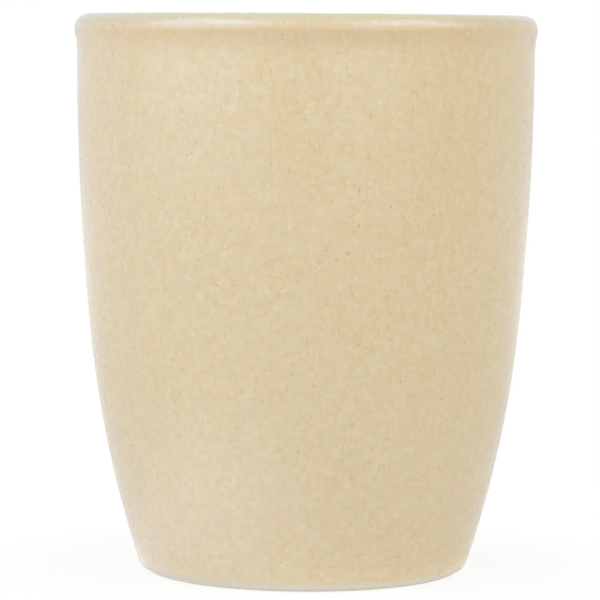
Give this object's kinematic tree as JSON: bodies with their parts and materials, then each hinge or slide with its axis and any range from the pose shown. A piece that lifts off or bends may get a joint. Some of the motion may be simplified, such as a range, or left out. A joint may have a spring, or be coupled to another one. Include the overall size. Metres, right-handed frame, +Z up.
{
  "type": "espresso cup",
  "caption": "Handleless espresso cup: tapering wall, rolled lip and bare, rubbed-down foot, pressed in speckled plant-fibre composite under a clear glaze.",
  "frame": {"origin": "centre of the base, on the plane that the standing ring rests on", "axes": "+Z up along the cup's axis of revolution, towards the lip; X and Y are free, because the cup is round"},
  "size_m": [0.0538, 0.0538, 0.065],
  "materials": {
    "fibre_composite": "matt pressed plant-fibre composite, rubbed down to a pale greyish beige where the foot is bare",
    "gloss_glaze": "clear gloss skin over beige composite",
    "satin_glaze": "clear satin skin over beige composite, tan specks showing through"
  },
  "bodies": {
    "root": {"cup_body": "fibre_composite", "inner_glaze": "gloss_glaze", "outer_glaze": "satin_glaze"}
  },
  "joints": []
}
